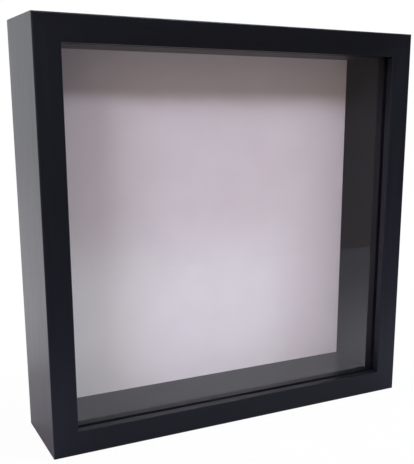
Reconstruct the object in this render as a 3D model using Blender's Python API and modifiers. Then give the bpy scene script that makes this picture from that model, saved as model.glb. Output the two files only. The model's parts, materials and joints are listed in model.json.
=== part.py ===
"""A square shadow box: a deep mitred frame with a glass front, a removable back and its hardware.

Metres, +Z up, +X right, and the front faces -Y. The origin is at the middle of the underside, half-way
through the depth of the frame rails.
"""

import math

import bmesh
import bpy
from mathutils import Matrix, Vector

# Frame rails: an L section, mitred at the corners
SIDE = 0.250  # outer width, and outer height
DEPTH = 0.060
FACE = 0.015  # width of the front face
WALL = 0.010  # thickness of the side wall behind the lip
LIP = 0.006  # thickness of the lip that holds the glass
LIP_CHAMFER = 0.0008
OUTER_ROUND = 0.0009
INNER_ROUND = 0.0005
MITRE_GAP = 0.0001  # on each side of the joint

# What lies in the rebate, from front to back
CLEARANCE = 0.0003
GLASS_THICKNESS = 0.002
CARD_THICKNESS = 0.0014
PANEL_THICKNESS = 0.006
CARD_FRONT = 0.052  # from the front face to the front of the card
CARD_PLAY = 0.0005  # gap around the pieces that lift out

# Turn buttons and their screws
BUTTON_REACH = 0.016  # from the pivot to the tip
BUTTON_WIDTH = 0.0086
BUTTON_TIP_WIDTH = 0.006
BUTTON_THICKNESS = 0.001
BUTTON_HOLE = 0.0018
BUTTON_SHOULDER_ROUND = 0.004
BUTTON_END_ROUND = 0.98  # as a share of half the width there
BUTTON_TIP_ROUND = 0.8
TOP_BUTTON_OFFSET = 0.050  # to one side, clear of the hanger
SCREW_SHANK = 0.0015
SCREW_LENGTH = 0.012
SCREW_HEAD = 0.0031
SCREW_HEAD_HEIGHT = 0.002
SCREW_HEAD_ROUND = 0.0012
SCREW_SLOT = 0.0008
SCREW_SLOT_REACH = 0.55  # as a share of the head's radius
SCREW_SLOT_FLOOR = 0.5  # as a share of the head's height
ROUND_STEPS = 24

# V-shaped corner nails, driven in from the rear
NAIL_WING = 0.0042
NAIL_FOLD = 0.0038  # from both outer faces to the fold
NAIL_GAUGE = 0.0005
NAIL_DEPTH = 0.009
NAIL_SINK = 0.0004  # below the rear of the rails
NAIL_ANGLE = math.radians(112)

# Sawtooth hanger on the rear of the top rail
HANGER_LENGTH = 0.044
HANGER_HEIGHT = 0.0078
HANGER_GAUGE = 0.001
HANGER_RISE = 0.0016
HANGER_TAB = 0.0075
HANGER_SLOPE = 0.002
TOOTH_PITCH = 0.003
TOOTH_DEPTH = 0.0022
TOOTH_COUNT = 7
TOOTH_HALF_WIDTH = 0.42  # half a notch, as a share of the pitch
HANGER_NAIL_SHANK = 0.0007
HANGER_NAIL_LENGTH = 0.010
HANGER_NAIL_HEAD = 0.0016
HANGER_NAIL_HEAD_HEIGHT = 0.0008
HANGER_NAIL_ROUND = 0.0005

# Wall bumpers
BUMPER_RADIUS = 0.0042
BUMPER_HEIGHT = 0.003
BUMPER_ROUND = 0.0015
BUMPER_CROWN = 0.8  # the radius at the top, as a share of the radius
BUMPER_SIDE = 0.3  # the height of the upright side, as a share of the height
BUMPER_OFFSET = 0.098  # from the middle, to each side

# Places worked out from these
HALF = SIDE / 2
REAR = DEPTH / 2
FRONT = -REAR
REBATE_HALF = HALF - WALL
OPENING_HALF = HALF - FACE
CENTRE = Vector((0, 0, HALF))
GLASS_FRONT = FRONT + LIP + CLEARANCE
SPACER_FRONT = GLASS_FRONT + GLASS_THICKNESS + CLEARANCE
SPACER_REAR = FRONT + CARD_FRONT - CLEARANCE
SPACER_HALF = REBATE_HALF - CLEARANCE
PANEL_FRONT = FRONT + CARD_FRONT + CARD_THICKNESS + CLEARANCE
LIFT_OUT_HALF = REBATE_HALF - CARD_PLAY
PLATE_FRONT = REAR + CLEARANCE  # the underside of everything fastened to the rear
TINY = 1e-6
SHARP_ANGLE = math.radians(35)

# The four sides: the turn about Y that brings the bottom rail there
SIDES = {"bottom": 0.0, "right": -math.pi / 2, "top": math.pi, "left": math.pi / 2}

# Colours, roughness and metallic value of each material
FINISHES = {
    "black_foil": ((0.013, 0.013, 0.016), 0.42, 0.0),
    "glass": ((0.90, 0.94, 0.93), 0.03, 0.0),
    "black_liner": ((0.016, 0.015, 0.016), 0.60, 0.0),
    "white_card": ((0.72, 0.69, 0.73), 0.75, 0.0),
    "fibreboard": ((0.36, 0.23, 0.13), 0.80, 0.0),
    "zinc_steel": ((0.62, 0.62, 0.60), 0.35, 1.0),
    "rubber": ((0.06, 0.06, 0.06), 0.65, 0.0),
}


def clear_scene():
    for obj in list(bpy.data.objects):
        bpy.data.objects.remove(obj, do_unlink=True)


def new_collection(name):
    collection = bpy.data.collections.new(name)
    bpy.context.scene.collection.children.link(collection)
    return collection


def material(name):
    found = bpy.data.materials.get(name)
    if found:
        return found
    colour, roughness, metallic = FINISHES[name]
    made = bpy.data.materials.new(name)
    made.use_nodes = True
    shader = made.node_tree.nodes["Principled BSDF"]
    shader.inputs["Base Color"].default_value = (*colour, 1)
    shader.inputs["Roughness"].default_value = roughness
    shader.inputs["Metallic"].default_value = metallic
    if name == "glass":
        shader.inputs["Transmission Weight"].default_value = 0.9
    return made


def add_object(name, mesh, finish=None, place=Matrix.Identity(4)):
    """A named object in the part's collection, or a hidden cutter where no finish is given."""
    obj = bpy.data.objects.new(name, mesh)
    obj.matrix_world = place
    if finish:
        parts.objects.link(obj)
        if not mesh.materials:
            mesh.materials.append(material(finish))
    else:
        cutters.objects.link(obj)
        obj.hide_render = True
        obj.display_type = "WIRE"
    return obj


def box_mesh(name, low, high):
    """A box from its lowest corner to its highest."""
    low, high = Vector(low), Vector(high)
    made = bmesh.new()
    bmesh.ops.create_cube(made, size=1)
    bmesh.ops.scale(made, vec=high - low, verts=made.verts)
    bmesh.ops.translate(made, vec=(low + high) / 2, verts=made.verts)
    mesh = bpy.data.meshes.new(name)
    made.to_mesh(mesh)
    made.free()
    return mesh


def rod_mesh(name, radius, length):
    """A cylinder along Z, centred on its own origin."""
    made = bmesh.new()
    bmesh.ops.create_cone(
        made, cap_ends=True, segments=ROUND_STEPS, radius1=radius, radius2=radius, depth=length
    )
    mesh = bpy.data.meshes.new(name)
    made.to_mesh(mesh)
    made.free()
    return mesh


def rounded(corners, steps=3):
    """The outline through (x, y, radius) corners, with an arc at each corner that has a radius."""
    outline = []
    for index, (x, y, radius) in enumerate(corners):
        here = Vector((x, y))
        if not radius:
            outline.append(here)
            continue
        before = (Vector(corners[index - 1][:2]) - here).normalized()
        after = (Vector(corners[(index + 1) % len(corners)][:2]) - here).normalized()
        half_angle = before.angle(after) / 2
        centre = here + (before + after).normalized() * radius / math.sin(half_angle)
        start = here + before * radius / math.tan(half_angle) - centre
        sweep = math.pi - 2 * half_angle
        if before.x * after.y - before.y * after.x > 0:
            sweep = -sweep
        for step in range(steps + 1):
            outline.append(centre + Matrix.Rotation(sweep * step / steps, 2) @ start)
    return outline


def evaluated_mesh(obj, name):
    """The object's mesh with its modifiers applied and its seams welded. The object is removed."""
    graph = bpy.context.evaluated_depsgraph_get()
    mesh = bpy.data.meshes.new_from_object(obj.evaluated_get(graph), depsgraph=graph)
    mesh.name = name
    bpy.data.objects.remove(obj, do_unlink=True)
    made = bmesh.new()
    made.from_mesh(mesh)
    bmesh.ops.remove_doubles(made, verts=made.verts, dist=TINY)
    bmesh.ops.recalc_face_normals(made, faces=made.faces)
    made.to_mesh(mesh)
    made.free()
    return mesh


def plate_mesh(name, outline, thickness):
    """A flat outline in XY made solid from z = 0 to z = thickness."""
    curve = bpy.data.curves.new(name, "CURVE")
    curve.dimensions = "2D"
    curve.fill_mode = "BOTH"
    curve.extrude = thickness / 2
    spline = curve.splines.new("POLY")
    spline.points.add(len(outline) - 1)
    for point, (x, y) in zip(spline.points, outline):
        point.co = (x, y, 0, 1)
    spline.use_cyclic_u = True
    obj = bpy.data.objects.new(name, curve)
    cutters.objects.link(obj)
    mesh = evaluated_mesh(obj, name)
    bpy.data.curves.remove(curve)
    mesh.transform(Matrix.Translation((0, 0, thickness / 2)))
    return mesh


def turned_mesh(name, profile):
    """(radius, height) points, from the top of the axis down the outside, turned about Z."""
    mesh = bpy.data.meshes.new(name)
    points = [(radius, 0, height) for radius, height in profile]
    mesh.from_pydata(points, [(i, i + 1) for i in range(len(points) - 1)], [])
    obj = bpy.data.objects.new(name, mesh)
    cutters.objects.link(obj)
    screw = obj.modifiers.new("turn", "SCREW")
    screw.steps = ROUND_STEPS
    screw.render_steps = ROUND_STEPS
    screw.use_merge_vertices = True
    screw.merge_threshold = TINY
    return evaluated_mesh(obj, name)


def cut(obj, cutter):
    modifier = obj.modifiers.new(cutter.name, "BOOLEAN")
    modifier.operation = "DIFFERENCE"
    modifier.solver = "EXACT"
    modifier.object = cutter


def shade(mesh):
    mesh.shade_smooth()
    mesh.set_sharp_from_angle(angle=SHARP_ANGLE)


def on_side(side, along=0.0, inset=WALL / 2, depth=REAR):
    """A place on one side of the frame: local X along the rail, Y to the rear and Z inwards."""
    turn = Matrix.Translation(CENTRE) @ Matrix.Rotation(SIDES[side], 4, "Y")
    return turn @ Matrix.Translation((along, depth, inset - HALF))


def rail_section():
    """The L section, as (distance from the outer face, depth)."""
    return rounded(
        [
            (0, FRONT, OUTER_ROUND),
            (FACE, FRONT, INNER_ROUND),
            (FACE, FRONT + LIP - LIP_CHAMFER, 0),
            (FACE - LIP_CHAMFER, FRONT + LIP, 0),
            (WALL, FRONT + LIP, 0),
            (WALL, REAR, 0),
            (0, REAR, OUTER_ROUND / 2),
        ]
    )


def rail_mesh():
    """The bottom rail: X along it, Y to the rear, Z inwards. Its ends are cut at 45 degrees."""
    mesh = plate_mesh("rail", rail_section(), SIDE)
    # The plate's X is the distance inwards and its Z the length, so they change places.
    mesh.transform(Matrix(((0, 0, -1, HALF), (0, 1, 0, 0), (1, 0, 0, 0), (0, 0, 0, 1))))
    for vertex in mesh.vertices:
        end = HALF - vertex.co.z - MITRE_GAP
        vertex.co.x = math.copysign(end, vertex.co.x)
    shade(mesh)
    return mesh


def make_rails():
    rails = {}
    for side in SIDES:
        rails[side] = add_object(f"rail_{side}", rail_mesh(), "black_foil", on_side(side, 0, 0, 0))
    return rails


def make_glass():
    mesh = box_mesh(
        "glass_pane",
        (-SPACER_HALF, GLASS_FRONT, -SPACER_HALF),
        (SPACER_HALF, GLASS_FRONT + GLASS_THICKNESS, SPACER_HALF),
    )
    add_object("glass_pane", mesh, "glass", Matrix.Translation(CENTRE))


def make_spacers():
    """Strips flush with the lip: the two at the sides are full height, and the others fit between."""
    thickness = SPACER_HALF - OPENING_HALF
    for side in SIDES:
        half_length = SPACER_HALF if side in ("left", "right") else OPENING_HALF - CLEARANCE
        mesh = box_mesh(
            f"spacer_{side}",
            (-half_length, SPACER_FRONT, 0),
            (half_length, SPACER_REAR, thickness),
        )
        add_object(f"spacer_{side}", mesh, "black_liner", on_side(side, 0, WALL + CLEARANCE, 0))


def make_back():
    """The card and the panel behind it, on an empty at the panel's middle. They slide out together."""
    slide = bpy.data.objects.new("back_slide", None)
    slide.location = (0, PANEL_FRONT, HALF)
    parts.objects.link(slide)
    card_front = FRONT + CARD_FRONT - PANEL_FRONT
    sheets = {
        "backing_card": (card_front, CARD_THICKNESS, "white_card"),
        "back_panel": (0, PANEL_THICKNESS, "fibreboard"),
    }
    for name, (front, thickness, finish) in sheets.items():
        mesh = box_mesh(
            name,
            (-LIFT_OUT_HALF, front, -LIFT_OUT_HALF),
            (LIFT_OUT_HALF, front + thickness, LIFT_OUT_HALF),
        )
        sheet = add_object(name, mesh, finish)
        sheet.parent = slide


def screw_mesh():
    """A pan-head wood screw along Z, its head resting at z = 0, with a cross recess."""
    head = rounded(
        [
            (0, SCREW_HEAD_HEIGHT, 0),
            (SCREW_HEAD, SCREW_HEAD_HEIGHT, SCREW_HEAD_ROUND),
            (SCREW_HEAD, 0, 0),
            (SCREW_SHANK, 0, 0),
            (SCREW_SHANK, SCREW_SHANK * 2 - SCREW_LENGTH, 0),
            (0, -SCREW_LENGTH, 0),
        ]
    )
    screw = add_object("screw_blank", turned_mesh("screw_blank", head))
    arm = SCREW_HEAD * SCREW_SLOT_REACH
    recess = SCREW_HEAD_HEIGHT * SCREW_SLOT_FLOOR
    for index, (x, y) in enumerate(((arm, SCREW_SLOT / 2), (SCREW_SLOT / 2, arm))):
        slot = box_mesh("slot", (-x, -y, recess), (x, y, SCREW_HEAD_HEIGHT * 2))
        cut(screw, add_object(f"screw_slot_{index}", slot))
    return evaluated_mesh(screw, "screw")


def button_mesh():
    """A flat plate in XZ, 1 mm thick, round at its pivot and narrower at its tip, which points to +X."""
    wide = BUTTON_WIDTH / 2
    narrow = BUTTON_TIP_WIDTH / 2
    outline = rounded(
        [
            (-wide, -wide, wide * BUTTON_END_ROUND),
            (wide, -wide, BUTTON_SHOULDER_ROUND),
            (BUTTON_REACH, -narrow, narrow * BUTTON_TIP_ROUND),
            (BUTTON_REACH, narrow, narrow * BUTTON_TIP_ROUND),
            (wide, wide, BUTTON_SHOULDER_ROUND),
            (-wide, wide, wide * BUTTON_END_ROUND),
        ],
        steps=6,
    )
    mesh = plate_mesh("turn_button", outline, BUTTON_THICKNESS)
    hole = rod_mesh("button_hole", BUTTON_HOLE, BUTTON_THICKNESS * 6)
    blank = add_object("button_blank", mesh)
    cut(blank, add_object("button_hole", hole))
    mesh = evaluated_mesh(blank, "turn_button")
    mesh.transform(facing_rear())
    return mesh


def facing_rear():
    """Turns what was made standing on Z so that it stands on the rear face, along Y."""
    return Matrix.Rotation(-math.pi / 2, 4, "X")


def make_buttons(rails):
    """A button on each side, lying along its rail, on a screw through its round end."""
    button = button_mesh()
    screw = screw_mesh()
    screw.transform(facing_rear())
    for mesh in (button, screw):
        mesh.materials.clear()
        mesh.materials.append(material("zinc_steel"))
        shade(mesh)
    head_seat = PLATE_FRONT + BUTTON_THICKNESS + CLEARANCE
    pilot_length = 2 * (SCREW_LENGTH + CLEARANCE)
    for side, rail in rails.items():
        # On the top side the local X axis points left, so the offset is negative there.
        along = -TOP_BUTTON_OFFSET if side == "top" else 0
        add_object(f"turn_button_{side}", button, "zinc_steel", on_side(side, along, depth=PLATE_FRONT))
        add_object(f"button_screw_{side}", screw, "zinc_steel", on_side(side, along, depth=head_seat))
        pilot = rod_mesh("pilot", SCREW_SHANK + CLEARANCE, pilot_length)
        pilot.transform(facing_rear())
        cut(rail, add_object(f"pilot_{side}", pilot, None, on_side(side, along)))


def v_outline(wing, gauge):
    """A V open towards +Y, its fold at the origin, as the outline of a strip of this gauge."""
    lean = Vector((math.sin(NAIL_ANGLE / 2), math.cos(NAIL_ANGLE / 2)))
    across = Vector((-lean.y, lean.x)) * gauge / 2
    fold = gauge / 2 / math.sin(NAIL_ANGLE / 2)
    right = [lean * wing - across, lean * wing + across]
    left = [Vector((-point.x, point.y)) for point in reversed(right)]
    return [Vector((0, -fold)), *right, Vector((0, fold)), *left]


def make_corner_nails(rails):
    """A V-shaped nail across each mitre, in a slot that leaves it clear, sunk a little into the rear."""
    nail = plate_mesh("v_nail", v_outline(NAIL_WING, NAIL_GAUGE), NAIL_DEPTH)
    slot = plate_mesh(
        "v_slot",
        v_outline(NAIL_WING + CLEARANCE, NAIL_GAUGE + 2 * CLEARANCE),
        2 * (NAIL_DEPTH + NAIL_SINK + CLEARANCE),
    )
    slot.transform(Matrix.Translation((0, 0, -NAIL_DEPTH - NAIL_SINK - CLEARANCE)))
    nail.transform(Matrix.Translation((0, 0, -NAIL_DEPTH - NAIL_SINK)))
    nail.materials.append(material("zinc_steel"))
    order = list(SIDES)
    fold = HALF - NAIL_FOLD
    for index, side in enumerate(order):
        # The corner between this side and the next one round, at 45 degrees to both
        corner = Matrix.Translation(CENTRE + Vector((0, REAR, 0)))
        corner = corner @ Matrix.Rotation(SIDES[side] - math.pi / 4, 4, "Y")
        corner = corner @ Matrix.Translation((0, 0, -fold * math.sqrt(2))) @ facing_rear()
        # Facing the rear swaps the V's opening to the outside, so it is turned back inwards.
        corner = corner @ Matrix.Rotation(math.pi, 4, "Z")
        add_object(f"v_nail_{index + 1}", nail, "zinc_steel", corner)
        cutter = add_object(f"v_slot_{index + 1}", slot, None, corner)
        for rail in (rails[side], rails[order[(index + 1) % 4]]):
            cut(rail, cutter)


def hanger_mesh():
    """A raised bridge along X with a flat tab at each end, standing on z = 0, its teeth towards -Y."""
    half = HANGER_LENGTH / 2
    flat = half - HANGER_TAB
    top = flat - HANGER_SLOPE
    lower = [(-half, 0), (-flat, 0), (-top, HANGER_RISE), (top, HANGER_RISE), (flat, 0), (half, 0)]
    upper = [(x, y + HANGER_GAUGE) for x, y in reversed(lower)]
    strip = plate_mesh("hanger", [Vector(point) for point in lower + upper], HANGER_HEIGHT)
    strip.transform(Matrix.Translation((0, HANGER_HEIGHT / 2, 0)) @ Matrix.Rotation(math.pi / 2, 4, "X"))
    hanger = add_object("hanger_blank", strip)
    for index in range(TOOTH_COUNT):
        middle = (index - (TOOTH_COUNT - 1) / 2) * TOOTH_PITCH
        reach = TOOTH_PITCH * TOOTH_HALF_WIDTH
        notch = [
            Vector((middle - reach, -HANGER_HEIGHT)),
            Vector((middle + reach, -HANGER_HEIGHT)),
            Vector((middle + reach, -HANGER_HEIGHT / 2)),
            Vector((middle, -HANGER_HEIGHT / 2 + TOOTH_DEPTH)),
            Vector((middle - reach, -HANGER_HEIGHT / 2)),
        ]
        cut(hanger, add_object(f"tooth_{index}", plate_mesh("tooth", notch, DEPTH)))
    for x in (-half + HANGER_TAB / 2, half - HANGER_TAB / 2):
        hole = rod_mesh("hanger_hole", HANGER_NAIL_SHANK + CLEARANCE, DEPTH)
        cut(hanger, add_object("hanger_hole", hole, None, Matrix.Translation((x, 0, 0))))
    return evaluated_mesh(hanger, "sawtooth_hanger")


def make_hanger(rail):
    # On the top side local Z points down, so the teeth, made towards -Y, face the middle.
    mesh = hanger_mesh()
    mesh.transform(facing_rear())
    add_object("sawtooth_hanger", mesh, "zinc_steel", on_side("top", 0, depth=PLATE_FRONT))
    head_seat = PLATE_FRONT + HANGER_GAUGE + CLEARANCE
    nail = turned_mesh(
        "hanger_nail",
        rounded(
            [
                (0, HANGER_NAIL_HEAD_HEIGHT, 0),
                (HANGER_NAIL_HEAD, HANGER_NAIL_HEAD_HEIGHT, HANGER_NAIL_ROUND),
                (HANGER_NAIL_HEAD, 0, 0),
                (HANGER_NAIL_SHANK, 0, 0),
                (HANGER_NAIL_SHANK, HANGER_NAIL_SHANK * 3 - HANGER_NAIL_LENGTH, 0),
                (0, -HANGER_NAIL_LENGTH, 0),
            ]
        ),
    )
    nail.transform(facing_rear())
    nail.materials.append(material("zinc_steel"))
    shade(nail)
    offset = (HANGER_LENGTH - HANGER_TAB) / 2
    for name, along in (("left", offset), ("right", -offset)):
        add_object(f"hanger_nail_{name}", nail, "zinc_steel", on_side("top", along, depth=head_seat))
        pilot = rod_mesh("pilot", HANGER_NAIL_SHANK + CLEARANCE, 2 * (HANGER_NAIL_LENGTH + CLEARANCE))
        pilot.transform(facing_rear())
        cut(rail, add_object(f"hanger_pilot_{name}", pilot, None, on_side("top", along)))


def make_bumpers():
    dome = turned_mesh(
        "bumper",
        rounded(
            [
                (0, BUMPER_HEIGHT, 0),
                (BUMPER_RADIUS * BUMPER_CROWN, BUMPER_HEIGHT, BUMPER_ROUND),
                (BUMPER_RADIUS, BUMPER_HEIGHT * BUMPER_SIDE, 0),
                (BUMPER_RADIUS, 0, 0),
                (0, 0, 0),
            ],
            steps=5,
        ),
    )
    dome.transform(facing_rear())
    dome.materials.append(material("rubber"))
    shade(dome)
    for name, along in (("left", -BUMPER_OFFSET), ("right", BUMPER_OFFSET)):
        add_object(f"bumper_{name}", dome, "rubber", on_side("bottom", along, depth=PLATE_FRONT))


clear_scene()
parts = new_collection("shadow_box")
cutters = new_collection("cutters")
frame_rails = make_rails()
make_glass()
make_spacers()
make_back()
make_buttons(frame_rails)
make_corner_nails(frame_rails)
make_hanger(frame_rails["top"])
make_bumpers()
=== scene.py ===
"""The looks of a square black shadow box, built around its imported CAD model.

Every size is in metres, in the frame of the model: +X right, +Z up, and the glass front faces -Y.
"""

import json
import math

import bmesh
import bpy
from mathutils import Matrix, Vector


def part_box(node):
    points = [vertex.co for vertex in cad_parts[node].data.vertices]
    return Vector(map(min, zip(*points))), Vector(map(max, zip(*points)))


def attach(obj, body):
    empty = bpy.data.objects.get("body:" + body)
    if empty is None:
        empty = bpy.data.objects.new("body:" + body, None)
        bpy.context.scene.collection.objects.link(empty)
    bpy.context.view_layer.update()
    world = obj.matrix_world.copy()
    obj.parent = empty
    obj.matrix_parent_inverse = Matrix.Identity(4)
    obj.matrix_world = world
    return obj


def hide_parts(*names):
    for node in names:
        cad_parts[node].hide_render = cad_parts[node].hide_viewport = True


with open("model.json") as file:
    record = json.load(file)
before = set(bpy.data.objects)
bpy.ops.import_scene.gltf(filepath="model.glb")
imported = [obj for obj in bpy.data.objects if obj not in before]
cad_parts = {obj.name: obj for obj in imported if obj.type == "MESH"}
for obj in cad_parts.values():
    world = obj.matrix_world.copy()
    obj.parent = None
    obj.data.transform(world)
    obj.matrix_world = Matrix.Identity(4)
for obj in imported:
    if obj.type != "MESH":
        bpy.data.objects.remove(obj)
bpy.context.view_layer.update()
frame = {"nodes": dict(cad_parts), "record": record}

# ---------------------------------------------------------------- places read from the frame

LEFT_LOW, LEFT_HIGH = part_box("rail_left")
GLASS_LOW, GLASS_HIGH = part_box("glass_pane")
CARD_LOW, CARD_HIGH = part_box("backing_card")
PANEL_LOW, PANEL_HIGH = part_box("back_panel")
HANGER_LOW, HANGER_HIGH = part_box("sawtooth_hanger")

FRONT = LEFT_LOW.y
REAR = LEFT_HIGH.y
HALF = -LEFT_LOW.x
FACE = LEFT_HIGH.x - LEFT_LOW.x
CENTRE = Vector((0, 0, HALF))
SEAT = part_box("bumper_left")[0].y - REAR  # the gap the CAD leaves under a piece that rests on another
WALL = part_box("spacer_left")[0].x - LEFT_LOW.x - SEAT
LIP = GLASS_LOW.y - FRONT - SEAT

# ---------------------------------------------------------------- the pieces' own fine detail

# Rails
LIP_CHAMFER = 0.0008
OUTER_ROUND = 0.0009
INNER_ROUND = 0.0005
REAR_ROUND = 0.00045
MITRE_GAP = 0.00004  # on each side of the joint
ARRIS = 0.00012  # the least rounding of a cut edge
LEVEL_PAINTED_SHADING = 0.58  # painted shade: how much the black of the level rails is darkened, for how the light falls on them
UPRIGHT_PAINTED_SHADING = (1.0, 1.45)  # painted light and shade on the upright ones, at the left and at the right
MITRE_BLEND = 0.02  # the one changes to the other over twice this length, across the mitre
CORNER_NAILS = range(1, 5)
NAIL_SLOT_SPREAD = 1.03  # the slot round a corner nail, against the nail
NAIL_SLOT_OPEN = 0.002  # how far the slot's cutter stands out of the rear
REAR_BAND = 0.001  # the nail's points this close to its rear end belong to that end

# Pane
MIRROR_DEPTH = 0.0012  # the two mirror images of a pane appear about this far behind its front

# Rounding of the flat pieces' edges
LINER_ROUND = 0.00025
CARD_ROUND = 0.00015
PANEL_ROUND = 0.0004

# Turn buttons and their screws
BUTTON_REACH = 0.016
BUTTON_WIDE = 0.0043  # half the width round the screw
BUTTON_NARROW = 0.003  # half the width at the tip
BUTTON_GAUGE = 0.001
BUTTON_HOLE = 0.0018
BUTTON_SHOULDER_ROUND = 0.004
BUTTON_END_ROUND = 0.98  # as a share of half the width there
BUTTON_TIP_ROUND = 0.8
BUTTON_ROUND = 0.00018
TIP_LIFT = 0.0009
TIP_START = 0.0105
TIP_END = 0.0152  # the last line across the bend
TIP_STATIONS = 8  # the lines across the bend
SCREW_HEAD = 0.0031
SCREW_HEAD_HEIGHT = 0.002
SCREW_HEAD_ROUND = 0.0013
SCREW_RIM_ROUND = 0.00015
SCREW_SHANK = 0.0015
SCREW_ROUND = 0.00006
SCREW_STOPS = (23, 37)  # in degrees: where the first screw stopped, and how much further each next one
RECESS_TOP = (0.0038, 0.00085)  # length and width of one arm, at the top of the head
RECESS_FOOT = (0.0016, 0.0005)
RECESS_RISE = (0.35, 1.05)  # from its foot to above the head, as shares of the head's height

# Sawtooth hanger and its nails
HANGER_GAUGE = 0.001
HANGER_RISE = 0.0016
HANGER_TAB = 0.0075
HANGER_SLOPE = 0.002
HANGER_BEND = 0.0012
HANGER_TOP_BEND = 0.6  # as a share of the other bends
HANGER_ROUND = 0.00012
TOOTH_PITCH = 0.003
TOOTH_DEPTH = 0.0022
TOOTH_COUNT = 7
TOOTH_HALF_WIDTH = 0.44  # half a notch, as a share of the pitch
TACK_SHANK = 0.0007
TACK_HEAD_HEIGHT = 0.0008
TACK_HEAD_ROUND = 0.0006
TACK_RIM_ROUND = 0.0001

# Wall bumpers, as shares of their radius and height
BUMPER_CROWN = 0.8
BUMPER_CROWN_ROUND = 0.55
BUMPER_SIDE = 0.3
BUMPER_SIDE_ROUND = 0.1

CUTTER_REACH = 0.01  # how far a cutter stands out on both sides of what it cuts
ARC_STEPS = 6
ROUND_STEPS = 48

# The four sides: the turn about Y that brings the bottom one there
SIDES = {"bottom": 0.0, "right": -math.pi / 2, "top": math.pi, "left": math.pi / 2}


# ================================================================ node materials


class Nodes:
    """A material's node tree, with short ways to add and join nodes."""

    def __init__(self, name):
        self.material = bpy.data.materials.new(name)
        self.material.use_nodes = True
        self.tree = self.material.node_tree
        self.tree.nodes.clear()
        self.output = self.tree.nodes.new("ShaderNodeOutputMaterial")
        self.place = self.add("ShaderNodeTexCoord").outputs["Object"]

    def add(self, kind, **settings):
        node = self.tree.nodes.new(kind)
        for key, value in settings.items():
            setattr(node, key, value)
        return node

    def feed(self, socket, value):
        """Joins an output to the socket, or sets the socket to a plain value."""
        if isinstance(value, bpy.types.NodeSocket):
            self.tree.links.new(value, socket)
        else:
            socket.default_value = value

    def stretched(self, scale):
        """The place scaled along each axis, so that a pattern runs along the smallest one."""
        mapping = self.add("ShaderNodeMapping")
        self.feed(mapping.inputs["Vector"], self.place)
        self.feed(mapping.inputs["Scale"], scale)
        return mapping.outputs["Vector"]

    def noise(self, scale, detail=3.0, roughness=0.55, distortion=0.0):
        """A noise with so many cells per metre along each axis."""
        node = self.add("ShaderNodeTexNoise")
        self.feed(node.inputs["Vector"], self.stretched(scale))
        self.feed(node.inputs["Scale"], 1.0)
        self.feed(node.inputs["Detail"], detail)
        self.feed(node.inputs["Roughness"], roughness)
        self.feed(node.inputs["Distortion"], distortion)
        return node.outputs["Fac"]

    def ramp(self, factor, stops):
        node = self.add("ShaderNodeValToRGB")
        elements = node.color_ramp.elements
        while len(elements) < len(stops):
            elements.new(0.5)
        for element, (place, colour) in zip(elements, stops):
            element.position = place
            grey = (colour,) * 3 if isinstance(colour, float) else colour
            element.color = (*grey, 1)
        self.feed(node.inputs["Fac"], factor)
        return node.outputs["Color"]

    def math(self, operation, first, second=0.0, third=0.0):
        node = self.add("ShaderNodeMath", operation=operation)
        for socket, value in zip(node.inputs, (first, second, third)):
            self.feed(socket, value)
        return node.outputs["Value"]

    def between(self, value, low, high, new_low=0.0, new_high=1.0):
        """The value from low to high brought to the new range, and held at its ends."""
        node = self.add("ShaderNodeMapRange")
        names = ("Value", "From Min", "From Max", "To Min", "To Max")
        for name, given in zip(names, (value, low, high, new_low, new_high)):
            self.feed(node.inputs[name], given)
        return node.outputs["Result"]

    def blend(self, factor, first, second, blend_type="MIX"):
        node = self.add("ShaderNodeMix", data_type="RGBA", blend_type=blend_type)
        self.feed(node.inputs["Factor"], factor)
        self.feed(node.inputs["A"], first)
        self.feed(node.inputs["B"], second)
        return node.outputs["Result"]

    def bump(self, height, distance, strength=1.0, under=None):
        node = self.add("ShaderNodeBump")
        self.feed(node.inputs["Height"], height)
        self.feed(node.inputs["Distance"], distance)
        self.feed(node.inputs["Strength"], strength)
        if under is not None:
            self.feed(node.inputs["Normal"], under)
        return node.outputs["Normal"]

    def surface(self, **values):
        """A Principled shader on the output. Names use _ for the spaces in a socket's name."""
        shader = self.add("ShaderNodeBsdfPrincipled")
        for name, value in values.items():
            self.feed(shader.inputs[name.replace("_", " ")], value)
        self.feed(self.output.inputs["Surface"], shader.outputs[0])
        return self.material


def rgb(red, green, blue):
    return (red, green, blue, 1)


def black_foil(name, along):
    """Matt black foil with a faint pressed wood grain that runs along the rail; its black carries painted
    light and shade that differ from rail to rail.
    """
    made = Nodes(name)
    lengthwise = [1500.0, 1500.0, 1500.0]
    lengthwise[along] = 28.0
    broad = [260.0, 260.0, 260.0]
    broad[along] = 7.0
    pores = made.noise(lengthwise, detail=4, roughness=0.6)
    figure = made.noise(broad, detail=3, distortion=0.4)
    speck = made.noise((2600.0, 2600.0, 2600.0), detail=2)
    black = made.ramp(made.math("MULTIPLY_ADD", pores, 0.45, made.math("MULTIPLY", figure, 0.55)),
                      [(0.32, (0.0034, 0.0038, 0.0060)), (0.68, (0.0062, 0.0068, 0.0100))])
    # painted light and shade: each rail's black is scaled by how the light falls on that rail
    colour = made.blend(1.0, black, painted_rail_shading(made), "MULTIPLY")
    wear = made.math("ADD", pores, made.math("MULTIPLY", speck, 0.4))
    pressed = made.bump(pores, 0.000035, 0.55)
    fine = made.bump(speck, 0.000012, 0.45, under=pressed)
    return made.surface(Base_Color=colour, Roughness=made.between(wear, 0.45, 0.95, 0.29, 0.38), Normal=fine,
                        IOR=1.30, Specular_Tint=rgb(0.76, 0.80, 1.0))


def painted_rail_shading(made):
    """Painted light and shade on the rails: the level ones are painted darker than the upright ones, and the
    right one lighter than the left, for how the light falls on them, with a soft change.
    """
    split = made.add("ShaderNodeSeparateXYZ")
    made.feed(split.inputs[0], made.place)
    aside = made.math("ABSOLUTE", split.outputs["X"])
    above = made.math("ABSOLUTE", made.math("SUBTRACT", split.outputs["Z"], HALF))
    upright = made.between(split.outputs["X"], -HALF, HALF, *UPRIGHT_PAINTED_SHADING)
    past_mitre = made.math("SUBTRACT", aside, above)
    return made.between(past_mitre, -MITRE_BLEND, MITRE_BLEND, LEVEL_PAINTED_SHADING, upright)


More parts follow.
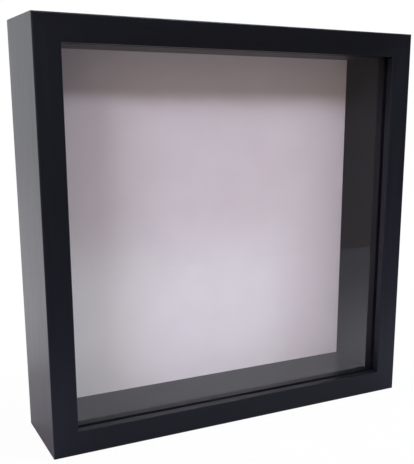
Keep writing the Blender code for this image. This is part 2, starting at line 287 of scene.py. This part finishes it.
def raw_board(name, tone):
    """Bare fibreboard: matted brown fibres with lighter and darker flecks."""
    made = Nodes(name)
    cloud = made.noise((38.0, 38.0, 38.0), detail=3)
    fibre = made.noise((560.0, 900.0, 380.0), detail=5, roughness=0.75, distortion=3.0)
    cross = made.noise((150.0, 400.0, 210.0), detail=5, roughness=0.7, distortion=2.0)
    fleck = made.noise((1500.0, 1500.0, 1500.0), detail=2)
    matted = made.math("MULTIPLY", made.math("ADD", fibre, cross), 0.5)
    mixed = made.math("MULTIPLY_ADD", cloud, 0.14, made.math("MULTIPLY", matted, 0.86))
    colour = made.ramp(mixed, [
        (0.32, (0.165 * tone, 0.098 * tone, 0.052 * tone)),
        (0.50, (0.245 * tone, 0.152 * tone, 0.084 * tone)),
        (0.68, (0.330 * tone, 0.216 * tone, 0.126 * tone)),
    ])
    flecked = made.blend(made.between(fleck, 0.62, 0.74, 0.0, 0.45), colour, rgb(0.095, 0.052, 0.026))
    rough = made.between(matted, 0.3, 0.7, 0.88, 0.72)
    fine = made.bump(fleck, 0.00003, 0.4, under=made.bump(matted, 0.00009, 0.6))
    return made.surface(Base_Color=flecked, Roughness=rough, Normal=fine)


def black_liner():
    """Black paper over the spacer strips: dull, with short fibres that catch a little light."""
    made = Nodes("black_liner")
    tooth = made.noise((1900.0, 1900.0, 1900.0), detail=4, roughness=0.65)
    fibre = made.noise((420.0, 2300.0, 420.0), detail=3, distortion=1.5)
    colour = made.ramp(made.math("MULTIPLY_ADD", tooth, 0.5, made.math("MULTIPLY", fibre, 0.5)),
                       [(0.36, (0.0048, 0.0046, 0.0072)), (0.66, (0.0088, 0.0084, 0.0124))])
    rough = made.between(tooth, 0.3, 0.7, 0.30, 0.38)
    return made.surface(Base_Color=colour, Roughness=rough, Normal=made.bump(tooth, 0.00001, 0.20),
                        IOR=1.27, Specular_Tint=rgb(0.90, 0.93, 1.0))


def white_card():
    """White mount board: very slightly mottled, with a soft paper tooth."""
    made = Nodes("white_card")
    mottle = made.noise((46.0, 46.0, 46.0), detail=4)
    tooth = made.noise((1300.0, 1300.0, 1300.0), detail=4, roughness=0.7)
    fibre = made.noise((240.0, 1500.0, 900.0), detail=4, distortion=1.8)
    fine = made.math("MULTIPLY_ADD", tooth, 0.3, made.math("MULTIPLY", fibre, 0.2))
    tone = made.math("MULTIPLY_ADD", mottle, 0.5, fine)
    colour = made.ramp(tone, [(0.30, (0.745, 0.700, 0.775)), (0.70, (0.815, 0.772, 0.842))])
    rough = made.between(tooth, 0.3, 0.7, 0.80, 0.92)
    return made.surface(Base_Color=colour, Roughness=rough, Normal=made.bump(tooth, 0.00005, 0.35))


def zinc(name, rough_low, rough_high):
    """Bright zinc plate: small soft crystals, a trace of yellow and light rubbing marks."""
    made = Nodes(name)
    crystal = made.add("ShaderNodeTexVoronoi")
    made.feed(crystal.inputs["Vector"], made.stretched((900.0, 900.0, 900.0)))
    cloud = made.noise((220.0, 220.0, 220.0), detail=3)
    rubbed = made.noise((2600.0, 2600.0, 160.0), detail=3)
    tint = made.ramp(cloud, [(0.35, (0.44, 0.45, 0.47)), (0.65, (0.56, 0.55, 0.51))])
    wear = made.math("ADD", rubbed, made.math("MULTIPLY", crystal.outputs["Distance"], 0.3))
    rough = made.between(wear, 0.35, 0.85, rough_low, rough_high)
    fine = made.bump(rubbed, 0.000012, 0.5)
    return made.surface(Base_Color=tint, Metallic=1.0, Roughness=rough, Normal=fine)


def dark_rubber():
    """Dull dark grey rubber with a fine moulded skin."""
    made = Nodes("bumper_rubber")
    skin = made.noise((2400.0, 2400.0, 2400.0), detail=3)
    dust = made.noise((420.0, 420.0, 420.0), detail=3)
    colour = made.ramp(dust, [(0.35, (0.028, 0.028, 0.029)), (0.70, (0.050, 0.049, 0.048))])
    rough = made.between(skin, 0.3, 0.7, 0.52, 0.70)
    return made.surface(Base_Color=colour, Roughness=rough, Normal=made.bump(skin, 0.00003, 0.5))


def clear_glass():
    """The faces of the pane: the light goes straight through, a little weaker."""
    made = Nodes("picture_glass")
    smear = made.noise((24.0, 24.0, 24.0), detail=3)
    tint = made.ramp(smear, [(0.35, (0.990, 0.995, 0.992)), (0.75, (0.982, 0.990, 0.986))])
    through = made.add("ShaderNodeBsdfTransparent")
    made.feed(through.inputs["Color"], tint)
    made.feed(made.output.inputs["Surface"], through.outputs[0])
    return made.material


def glass_mirror():
    """What the two faces of the pane mirror together. It lets the rest of the light through."""
    made = Nodes("glass_mirror")
    behind = made.add("ShaderNodeNewGeometry").outputs["Backfacing"]
    facing_out = made.math("MULTIPLY_ADD", behind, -2.0, 1.0)
    one_face = made.add("ShaderNodeFresnel")
    # From behind the Fresnel node turns its IOR over, so it is turned over beforehand.
    made.feed(one_face.inputs["IOR"], made.math("POWER", 1.5, facing_out))
    twice = made.math("MULTIPLY", one_face.outputs[0], 2.0)
    both_faces = made.math("DIVIDE", twice, made.math("ADD", one_face.outputs[0], 1.0))
    gloss = made.add("ShaderNodeBsdfGlossy")
    smear = made.noise((24.0, 24.0, 24.0), detail=3)
    made.feed(gloss.inputs["Roughness"], made.between(smear, 0.55, 0.80, 0.0, 0.012))
    joined = made.add("ShaderNodeMixShader")
    made.feed(joined.inputs[0], both_faces)
    made.feed(joined.inputs[1], made.add("ShaderNodeBsdfTransparent").outputs[0])
    made.feed(joined.inputs[2], gloss.outputs[0])
    made.feed(made.output.inputs["Surface"], joined.outputs[0])
    return made.material


def glass_edge():
    """The ground edge of the pane, green from the depth of glass behind it."""
    made = Nodes("glass_edge")
    grind = made.noise((900.0, 3000.0, 900.0), detail=3)
    colour = made.ramp(grind, [(0.35, (0.16, 0.30, 0.24)), (0.65, (0.30, 0.46, 0.39))])
    rough = made.between(grind, 0.3, 0.7, 0.25, 0.5)
    return made.surface(Base_Color=colour, Roughness=rough, Normal=made.bump(grind, 0.00003, 0.4))


# ================================================================ shapes


def rounded(corners, steps=ARC_STEPS):
    """The outline through (x, y, radius) corners, with an arc at each corner that has a radius."""
    outline = []
    for index, (x, y, radius) in enumerate(corners):
        here = Vector((x, y))
        if not radius:
            outline.append(here)
            continue
        before = (Vector(corners[index - 1][:2]) - here).normalized()
        after = (Vector(corners[(index + 1) % len(corners)][:2]) - here).normalized()
        half_angle = before.angle(after) / 2
        centre = here + (before + after).normalized() * radius / math.sin(half_angle)
        start = here + before * radius / math.tan(half_angle) - centre
        sweep = math.pi - 2 * half_angle
        if before.x * after.y - before.y * after.x > 0:
            sweep = -sweep
        for step in range(steps + 1):
            outline.append(centre + Matrix.Rotation(sweep * step / steps, 2) @ start)
    return outline


def mesh_from(made, name):
    """A mesh from a bmesh, with its faces turned outwards."""
    bmesh.ops.recalc_face_normals(made, faces=made.faces)
    mesh = bpy.data.meshes.new(name)
    made.to_mesh(mesh)
    made.free()
    return mesh


def prism(name, outline, low, high):
    """A flat outline in XY made solid from z = low to z = high."""
    made = bmesh.new()
    bottom = [made.verts.new((x, y, low)) for x, y in outline]
    top = [made.verts.new((x, y, high)) for x, y in outline]
    made.faces.new(bottom)
    made.faces.new(top)
    for index in range(len(outline)):
        after = (index + 1) % len(outline)
        made.faces.new((bottom[index], bottom[after], top[after], top[index]))
    return mesh_from(made, name)


def block(name, low, high):
    """A box between two opposite corners."""
    made = bmesh.new()
    bmesh.ops.create_cube(made, size=1)
    bmesh.ops.scale(made, vec=Vector(high) - Vector(low), verts=made.verts)
    bmesh.ops.translate(made, vec=(Vector(high) + Vector(low)) / 2, verts=made.verts)
    return mesh_from(made, name)


def turned(name, profile, steps=ROUND_STEPS):
    """(radius, height) points turned about Z."""
    made = bmesh.new()
    verts = [made.verts.new((radius, 0, height)) for radius, height in profile]
    edges = [made.edges.new(pair) for pair in zip(verts, verts[1:])]
    bmesh.ops.spin(made, geom=verts + edges, axis=(0, 0, 1), cent=(0, 0, 0), angle=math.tau, steps=steps)
    bmesh.ops.remove_doubles(made, verts=made.verts, dist=1e-7)
    return mesh_from(made, name)


def to_rear():
    """Turns what was made standing on Z so that it stands on the rear face, along Y."""
    return Matrix.Rotation(-math.pi / 2, 4, "X")


def on_side(side):
    """The outer face of one side of the frame: local X along the rail, Y to the rear and Z inwards."""
    turn = Matrix.Translation(CENTRE) @ Matrix.Rotation(SIDES[side], 4, "Y")
    return turn @ Matrix.Translation((0, 0, -HALF))


def middle(node):
    """The centre of a CAD node's box."""
    low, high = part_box(node)
    return (low + high) / 2


def cut_with(obj, cutter_mesh, place=Matrix.Identity(4)):
    """Takes the cutter's shape out of the object for good."""
    cutter = bpy.data.objects.new("cutter", cutter_mesh)
    cutter.matrix_world = place
    bpy.context.scene.collection.objects.link(cutter)
    modifier = obj.modifiers.new("cut", "BOOLEAN")
    modifier.operation = "DIFFERENCE"
    modifier.solver = "EXACT"
    modifier.object = cutter
    apply_modifiers(obj)
    bpy.data.objects.remove(cutter, do_unlink=True)
    bpy.data.meshes.remove(cutter_mesh)


def apply_modifiers(obj):
    """Gives the object the mesh that its modifiers make, and takes them off."""
    bpy.context.view_layer.update()
    graph = bpy.context.evaluated_depsgraph_get()
    mesh = bpy.data.meshes.new_from_object(obj.evaluated_get(graph), depsgraph=graph)
    obj.modifiers.clear()
    spare = obj.data
    obj.data = mesh
    if not spare.users:
        bpy.data.meshes.remove(spare)


def soften(obj, width, segments=2, angle=40):
    """Rounds every edge sharper than the angle, then shades the object."""
    bevel = obj.modifiers.new("soften", "BEVEL")
    bevel.width = width
    bevel.segments = segments
    bevel.limit_method = "ANGLE"
    bevel.angle_limit = math.radians(angle)
    apply_modifiers(obj)
    shade(obj, angle)


def shade(obj, angle):
    """Smooth round the curves, while every broad face stays flat."""
    obj.data.shade_smooth()
    obj.data.set_sharp_from_angle(angle=math.radians(angle))
    weighted = obj.modifiers.new("weighted", "WEIGHTED_NORMAL")
    weighted.mode = "FACE_AREA"
    weighted.keep_sharp = True
    weighted.weight = 100
    apply_modifiers(obj)


def new_object(name, mesh, materials):
    """An object in the scene. A face's material_index counts through the materials."""
    obj = bpy.data.objects.new(name, mesh)
    bpy.context.scene.collection.objects.link(obj)
    for material in materials:
        mesh.materials.append(material)
    return obj


def hand_in(obj, node, place=None):
    """Puts the piece where it belongs, in place of its CAD node and on that node's body."""
    if place is not None:
        obj.data.transform(place)
    bodies = frame["record"]["behaviour"]["bodies"]
    body = next(name for name, nodes in bodies.items() if node in nodes)
    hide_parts(node)
    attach(obj, body)


# ================================================================ the frame


def rail_mesh():
    """The bottom rail, mitred at both ends: X along it, Y to the rear, Z inwards."""
    section = rounded([
        (0, FRONT, OUTER_ROUND),
        (FACE, FRONT, INNER_ROUND),
        (FACE, FRONT + LIP - LIP_CHAMFER, 0),
        (FACE - LIP_CHAMFER, FRONT + LIP, 0),
        (WALL, FRONT + LIP, 0),
        (WALL, REAR, 0),
        (0, REAR, REAR_ROUND),
    ])
    mesh = prism("rail", section, -HALF, HALF)
    # The prism's X is the distance inwards and its Z the length, so they change places.
    mesh.transform(Matrix(((0, 0, -1, 0), (0, 1, 0, 0), (1, 0, 0, 0), (0, 0, 0, 1))))
    for vertex in mesh.vertices:
        vertex.co.x = math.copysign(HALF - vertex.co.z - MITRE_GAP, vertex.co.x)
    wrapped = FRONT + LIP + ARRIS  # the foil laps round the lip as far as this
    for face in mesh.polygons:
        mitre = abs(face.normal.x) > 0.5  # these cuts are stained black, so that the joint hardly shows
        bare = face.center.y > wrapped and face.center.z > REAR_ROUND / 2
        face.material_index = int(bare and not mitre)
    return mesh


def make_rails():
    board = raw_board("rail_board", 0.92)
    level, upright = black_foil("foil_level", 0), black_foil("foil_upright", 2)
    foils = {"bottom": level, "top": level, "left": upright, "right": upright}
    for side in SIDES:
        rail = new_object(f"moulding_{side}", rail_mesh(), [foils[side], board])
        rail.data.transform(on_side(side))
        for number in CORNER_NAILS:
            cut_nail_slot(rail, number)
        soften(rail, ARRIS)
        hand_in(rail, f"rail_{side}")


def cut_nail_slot(rail, number):
    """The slot that the corner nail pressed into the rail, if the nail crosses this one."""
    nail = frame["nodes"][f"v_nail_{number}"]
    low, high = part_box(nail.name)
    rail_low = Vector(min(corner[i] for corner in rail.bound_box) for i in range(3))
    rail_high = Vector(max(corner[i] for corner in rail.bound_box) for i in range(3))
    if any(low[i] > rail_high[i] or high[i] < rail_low[i] for i in range(3)):
        return
    made = bmesh.new()
    made.from_mesh(nail.data)
    bmesh.ops.remove_doubles(made, verts=made.verts, dist=1e-6)
    centre = Vector(((low.x + high.x) / 2, high.y, (low.z + high.z) / 2))
    for vertex in made.verts:
        vertex.co.x = centre.x + (vertex.co.x - centre.x) * NAIL_SLOT_SPREAD
        vertex.co.z = centre.z + (vertex.co.z - centre.z) * NAIL_SLOT_SPREAD
        vertex.co.y += NAIL_SLOT_OPEN if vertex.co.y > centre.y - REAR_BAND else 0
    cut_with(rail, mesh_from(made, "nail_slot"))


def make_glass():
    """The pane: two clear faces, a ground rim, and one sheet inside it that mirrors for both faces."""
    mesh = block("pane", GLASS_LOW, GLASS_HIGH)
    for face in mesh.polygons:
        face.material_index = int(abs(face.normal.y) < 0.5)
    made = bmesh.new()
    made.from_mesh(mesh)
    y = GLASS_LOW.y + MIRROR_DEPTH
    corners = [(GLASS_LOW.x, GLASS_LOW.z), (GLASS_HIGH.x, GLASS_LOW.z),
               (GLASS_HIGH.x, GLASS_HIGH.z), (GLASS_LOW.x, GLASS_HIGH.z)]
    made.faces.new([made.verts.new((x, y, z)) for x, z in corners]).material_index = 2
    made.to_mesh(mesh)
    made.free()
    pane = new_object("picture_pane", mesh, [clear_glass(), glass_edge(), glass_mirror()])
    hand_in(pane, "glass_pane")


def make_spacers():
    liner = black_liner()
    for side in SIDES:
        low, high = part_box(f"spacer_{side}")
        strip = new_object(f"liner_{side}", block("liner", low, high), [liner])
        soften(strip, LINER_ROUND, 3)
        hand_in(strip, f"spacer_{side}")


def make_back():
    card = new_object("mount_board", block("card", CARD_LOW, CARD_HIGH), [white_card()])
    soften(card, CARD_ROUND)
    hand_in(card, "backing_card")
    board = raw_board("panel_board", 1.08)
    panel = new_object("rear_panel", block("panel", PANEL_LOW, PANEL_HIGH), [board])
    soften(panel, PANEL_ROUND, 3)
    hand_in(panel, "back_panel")


# ================================================================ the hardware on the rear


def button_mesh():
    """A pressed steel turn button: X to its tip, Z up from the rail, its tip bent up to be pushed."""
    wide, narrow = BUTTON_WIDE, BUTTON_NARROW
    outline = rounded([
        (-wide, -wide, wide * BUTTON_END_ROUND),
        (wide, -wide, BUTTON_SHOULDER_ROUND),
        (BUTTON_REACH, -narrow, narrow * BUTTON_TIP_ROUND),
        (BUTTON_REACH, narrow, narrow * BUTTON_TIP_ROUND),
        (wide, wide, BUTTON_SHOULDER_ROUND),
        (-wide, wide, wide * BUTTON_END_ROUND),
    ], 10)
    plate = prism("button", outline, 0, BUTTON_GAUGE)
    made = bmesh.new()
    made.from_mesh(plate)
    for step in range(TIP_STATIONS):
        x = TIP_START + (TIP_END - TIP_START) * step / (TIP_STATIONS - 1)
        geometry = [*made.verts, *made.edges, *made.faces]
        bmesh.ops.bisect_plane(made, geom=geometry, plane_co=(x, 0, 0), plane_no=(1, 0, 0))
    for vertex in made.verts:
        share = max(0.0, (vertex.co.x - TIP_START) / (BUTTON_REACH - TIP_START))
        vertex.co.z += TIP_LIFT * share * share * (3 - 2 * share)
    mesh = mesh_from(made, "button")
    bpy.data.meshes.remove(plate)
    return mesh


def make_buttons():
    steel = zinc("zinc_plate", 0.24, 0.42)
    screw_steel = zinc("screw_zinc", 0.20, 0.34)
    for side in SIDES:
        node = f"turn_button_{side}"
        pivot = middle(f"button_screw_{side}")
        seat = Vector((pivot.x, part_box(node)[0].y, pivot.z))
        place = Matrix.Translation(seat) @ Matrix.Rotation(SIDES[side], 4, "Y") @ to_rear()
        button = new_object(f"button_{side}", button_mesh(), [steel])
        reach = CUTTER_REACH
        hole = [(0, reach), (BUTTON_HOLE, reach), (BUTTON_HOLE, -reach), (0, -reach)]
        cut_with(button, turned("hole", hole))
        soften(button, BUTTON_ROUND, 3)
        hand_in(button, node, place)
        make_screw(side, pivot, screw_steel)


def make_screw(side, pivot, steel):
    """A pan-head screw with a tapered cross recess, standing on its washer face."""
    node = f"button_screw_{side}"
    low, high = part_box(node)
    length = high.y - low.y - SCREW_HEAD_HEIGHT
    profile = rounded([
        (0, SCREW_HEAD_HEIGHT, 0),
        (SCREW_HEAD, SCREW_HEAD_HEIGHT, SCREW_HEAD_ROUND),
        (SCREW_HEAD, 0, SCREW_RIM_ROUND),
        (SCREW_SHANK, 0, 0),
        (SCREW_SHANK, 2 * SCREW_SHANK - length, 0),
        (0, -length, 0),
    ], 8)
    screw = new_object(f"screw_{side}", turned("screw", profile), [steel])
    for turn in (0, math.pi / 2):
        cut_with(screw, recess_blade(), Matrix.Rotation(turn, 4, "Z"))
    soften(screw, SCREW_ROUND, 2, 30)
    first, further = SCREW_STOPS
    stopped = Matrix.Rotation(math.radians(first + further * list(SIDES).index(side)), 4, "Z")
    seat = Vector((pivot.x, high.y - SCREW_HEAD_HEIGHT, pivot.z))
    hand_in(screw, node, Matrix.Translation(seat) @ to_rear() @ stopped)


def recess_blade():
    """One arm of the cross recess, narrower at its foot than at the top of the head."""
    made = bmesh.new()
    bmesh.ops.create_cube(made, size=1)
    for vertex in made.verts:
        top = vertex.co.z > 0
        length, width = RECESS_TOP if top else RECESS_FOOT
        vertex.co.x *= length
        vertex.co.y *= width
        vertex.co.z = SCREW_HEAD_HEIGHT * RECESS_RISE[top]
    return mesh_from(made, "blade")


def make_hanger():
    """The sawtooth hanger: a raised bridge with a flat tab at each end, its teeth pointing down."""
    size = HANGER_HIGH - HANGER_LOW
    half, height = size.x / 2, size.z
    flat = half - HANGER_TAB
    top = flat - HANGER_SLOPE
    bend, top_bend = HANGER_BEND, HANGER_BEND * HANGER_TOP_BEND
    lower = [(-half, 0, 0), (-flat, 0, bend), (-top, HANGER_RISE, top_bend),
             (top, HANGER_RISE, top_bend), (flat, 0, bend), (half, 0, 0)]
    upper = [(x, y + HANGER_GAUGE, bend if radius else 0) for x, y, radius in reversed(lower)]
    mesh = prism("hanger", rounded(lower + upper, 4), -height / 2, height / 2)
    mesh.transform(Matrix.Rotation(math.pi / 2, 4, "X"))
    hanger = new_object("sawtooth_plate", mesh, [zinc("hanger_zinc", 0.28, 0.46)])
    reach = TOOTH_PITCH * TOOTH_HALF_WIDTH
    for index in range(TOOTH_COUNT):
        x = (index - (TOOTH_COUNT - 1) / 2) * TOOTH_PITCH
        notch = [(x - reach, -height), (x + reach, -height), (x + reach, -height / 2),
                 (x, TOOTH_DEPTH - height / 2), (x - reach, -height / 2)]
        cut_with(hanger, prism("notch", notch, -CUTTER_REACH, CUTTER_REACH))
    soften(hanger, HANGER_ROUND, 2, 35)
    seat = Vector((middle("sawtooth_hanger").x, HANGER_LOW.y, middle("sawtooth_hanger").z))
    place = Matrix.Translation(seat) @ Matrix.Rotation(math.pi, 4, "Y") @ to_rear()
    hand_in(hanger, "sawtooth_hanger", place)


def make_hanger_nails():
    steel = zinc("nail_zinc", 0.22, 0.38)
    for name in ("left", "right"):
        node = f"hanger_nail_{name}"
        low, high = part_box(node)
        radius = (high.x - low.x) / 2
        length = high.y - low.y
        profile = rounded([
            (0, 0, 0),
            (radius, 0, TACK_HEAD_ROUND),
            (radius, -TACK_HEAD_HEIGHT, TACK_RIM_ROUND),
            (TACK_SHANK, -TACK_HEAD_HEIGHT, 0),
            (TACK_SHANK, 3 * TACK_SHANK - length, 0),
            (0, -length, 0),
        ], 5)
        nail = new_object(f"tack_{name}", turned("tack", profile, 32), [steel])
        shade(nail, 35)
        seat = Vector((middle(node).x, high.y, middle(node).z))
        hand_in(nail, node, Matrix.Translation(seat) @ to_rear())


def make_bumpers():
    rubber = dark_rubber()
    for name in ("left", "right"):
        node = f"bumper_{name}"
        low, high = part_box(node)
        radius = (high.x - low.x) / 2
        height = high.y - low.y
        profile = rounded([
            (0, height, 0),
            (radius * BUMPER_CROWN, height, height * BUMPER_CROWN_ROUND),
            (radius, height * BUMPER_SIDE, height * BUMPER_SIDE_ROUND),
            (radius, 0, 0),
            (0, 0, 0),
        ], 8)
        dome = new_object(f"wall_bumper_{name}", turned("bumper", profile), [rubber])
        shade(dome, 50)
        seat = Vector((middle(node).x, low.y, middle(node).z))
        hand_in(dome, node, Matrix.Translation(seat) @ to_rear())


def finish_corner_nails():
    """The corner nails keep their CAD shape and take the bright zinc plate."""
    steel = zinc("corner_nail_zinc", 0.26, 0.44)
    for number in CORNER_NAILS:
        nail = frame["nodes"][f"v_nail_{number}"]
        nail.data.materials.clear()
        nail.data.materials.append(steel)


# ================================================================ the studio

TABLE_FRONT = -0.475  # where the table ends, in front of the box
TABLE_NEAR = -0.10  # the painted shade on the table ends here, and from here on it has its full brightness
TABLE_REACH = 2.2
TABLE_THICKNESS = 0.02
GLOW_DEPTH = 0.3  # the table's own glow grows from the box to this far behind it
ROOM_FRONT = (0.180, 0.125, 0.120)  # the dim room to the right of the camera, with white at 1
ROOM_LEFT = (0.92, 0.66, 0.43)  # the warm side of the room
ROOM_BEHIND = (1.00, 1.04, 1.13)
MIRRORED_COLOUR = 0.35  # the share of the room's tint that shows in what mirrors it
TABLE_GLOW = 0.53  # how much painted glow the table gives off behind the box
SEEN_LIFT = 0.96  # how far the table is lifted to white where the camera sees it
SOFTBOX_DISTANCE = 2.4

CAMERA_PLACE = (-0.2208, -0.4410, 0.2058)
CAMERA_TURN = 28.80  # to the right of straight ahead, in degrees
CAMERA_DIP = 13.03
CAMERA_TILT = 0.567
CAMERA_LENS = 58.70
CAMERA_SHIFT = (-0.096, 0.095)


def pale_table():
    """A white table top whose colour is darkened towards its front edge, as painted shade for the light
    falling off there, and which glows behind the box.
    """
    made = Nodes("pale_table")
    split = made.add("ShaderNodeSeparateXYZ")
    made.feed(split.inputs[0], made.place)
    nearness = made.between(split.outputs["Y"], TABLE_FRONT, TABLE_NEAR)
    grain = made.noise((6.0, 6.0, 6.0), detail=3)
    # painted shade: the table's colour darkens towards its front edge, for the light falling off there
    tone = made.ramp(nearness, [(0.0, 0.15), (0.39, 0.19), (0.60, 0.31), (0.76, 0.42), (1.0, 0.64)])
    cool = made.blend(1.0, tone, rgb(1.0, 0.955, 1.04), "MULTIPLY")
    varied = made.blend(made.between(grain, 0.3, 0.7, 0.0, 0.03), cool, rgb(0.86, 0.84, 0.88))
    glow = made.between(split.outputs["Y"], 0.0, GLOW_DEPTH, 0.0, TABLE_GLOW)
    made.surface(Base_Color=varied, Roughness=0.7, Emission_Color=rgb(1, 1, 1), Emission_Strength=glow)
    top = made.output.inputs["Surface"].links[0].from_socket
    white = made.add("ShaderNodeEmission")
    lifted = made.add("ShaderNodeMixShader")
    seen = made.add("ShaderNodeLightPath").outputs["Is Camera Ray"]
    made.feed(lifted.inputs[0], made.math("MULTIPLY", seen, SEEN_LIFT))
    made.feed(lifted.inputs[1], top)
    made.feed(lifted.inputs[2], white.outputs[0])
    made.feed(made.output.inputs["Surface"], lifted.outputs[0])
    return made.material


def make_table():
    low = (-TABLE_REACH, TABLE_FRONT, -TABLE_THICKNESS)
    table = new_object("table", block("table", low, (TABLE_REACH, TABLE_REACH, 0)), [pale_table()])


def make_world():
    """White to the camera. As light, the room is bright behind the box and dim in front of it."""
    world = bpy.data.worlds.new("studio")
    bpy.context.scene.world = world
    world.use_nodes = True
    tree = world.node_tree
    tree.nodes.clear()
    coordinates = tree.nodes.new("ShaderNodeTexCoord")
    split = tree.nodes.new("ShaderNodeSeparateXYZ")
    tree.links.new(coordinates.outputs["Generated"], split.inputs[0])

    def toward(axis, low, high, first, second):
        """Goes from the first colour to the second as the direction's axis goes from low to high."""
        share = tree.nodes.new("ShaderNodeMapRange")
        share.interpolation_type = "SMOOTHSTEP"
        share.inputs["From Min"].default_value = low
        share.inputs["From Max"].default_value = high
        tree.links.new(split.outputs[axis], share.inputs["Value"])
        tint = tree.nodes.new("ShaderNodeMix")
        tint.data_type = "RGBA"
        tint.inputs["B"].default_value = rgb(*second)
        tree.links.new(share.outputs["Result"], tint.inputs["Factor"])
        if isinstance(first, tuple):
            tint.inputs["A"].default_value = rgb(*first)
        else:
            tree.links.new(first, tint.inputs["A"])
        return tint.outputs["Result"]

    front = toward("X", -0.75, 0.30, ROOM_LEFT, ROOM_FRONT)
    room = tree.nodes.new("ShaderNodeBackground")
    path = tree.nodes.new("ShaderNodeLightPath")
    greyed = tree.nodes.new("ShaderNodeMapRange")
    greyed.inputs["To Min"].default_value = 1.0
    greyed.inputs["To Max"].default_value = MIRRORED_COLOUR
    tree.links.new(path.outputs["Is Glossy Ray"], greyed.inputs["Value"])
    tamed = tree.nodes.new("ShaderNodeHueSaturation")
    tree.links.new(greyed.outputs["Result"], tamed.inputs["Saturation"])
    tree.links.new(toward("Y", -0.35, 0.45, front, ROOM_BEHIND), tamed.inputs["Color"])
    tree.links.new(tamed.outputs["Color"], room.inputs["Color"])
    seen = tree.nodes.new("ShaderNodeBackground")
    seen.inputs["Color"].default_value = rgb(1, 1, 1)
    joined = tree.nodes.new("ShaderNodeMixShader")
    tree.links.new(path.outputs["Is Camera Ray"], joined.inputs[0])
    tree.links.new(room.outputs[0], joined.inputs[1])
    tree.links.new(seen.outputs[0], joined.inputs[2])
    output = tree.nodes.new("ShaderNodeOutputWorld")
    tree.links.new(joined.outputs[0], output.inputs["Surface"])


def add_softbox(name, azimuth, elevation, width, height, power, colour):
    """A soft rectangular light at these angles from the box, azimuth 0 in front and 90 to the right."""
    turn, rise = math.radians(azimuth), math.radians(elevation)
    away = Vector((math.sin(turn) * math.cos(rise), -math.cos(turn) * math.cos(rise), math.sin(rise)))
    data = bpy.data.lights.new(name, "AREA")
    data.shape = "RECTANGLE"
    data.size = width
    data.size_y = height
    data.energy = power
    data.color = colour
    light = bpy.data.objects.new(name, data)
    light.location = CENTRE + away * SOFTBOX_DISTANCE
    light.rotation_mode = "QUATERNION"
    light.rotation_quaternion = away.to_track_quat("Z", "Y")
    bpy.context.scene.collection.objects.link(light)


def make_lights():
    add_softbox("strip", 10.7, 30.2, 2.30, 0.336, 17.1, (0.96, 0.94, 1.0))
    add_softbox("left_key", -48.6, 26.2, 0.916, 0.26, 27.0, (0.77, 0.78, 1.0))
    add_softbox("high_right", 48.6, 59.3, 0.384, 0.25, 41.0, (0.81, 1.0, 0.93))


def make_camera():
    data = bpy.data.cameras.new("camera")
    data.lens = CAMERA_LENS
    data.sensor_width = 36
    data.shift_x, data.shift_y = CAMERA_SHIFT
    data.clip_start = 0.01
    camera = bpy.data.objects.new("camera", data)
    turn = Matrix.Rotation(math.radians(-CAMERA_TURN), 4, "Z")
    dip = Matrix.Rotation(math.radians(90 - CAMERA_DIP), 4, "X")
    tilt = Matrix.Rotation(math.radians(CAMERA_TILT), 4, "Z")
    camera.matrix_world = Matrix.Translation(CAMERA_PLACE) @ turn @ dip @ tilt
    bpy.context.scene.collection.objects.link(camera)
    bpy.context.scene.camera = camera


make_camera()
make_rails()
make_glass()
make_spacers()
make_back()
make_buttons()
make_hanger()
make_hanger_nails()
make_bumpers()
finish_corner_nails()
make_table()
make_world()
make_lights()
bpy.context.scene.view_settings.view_transform = "Standard"
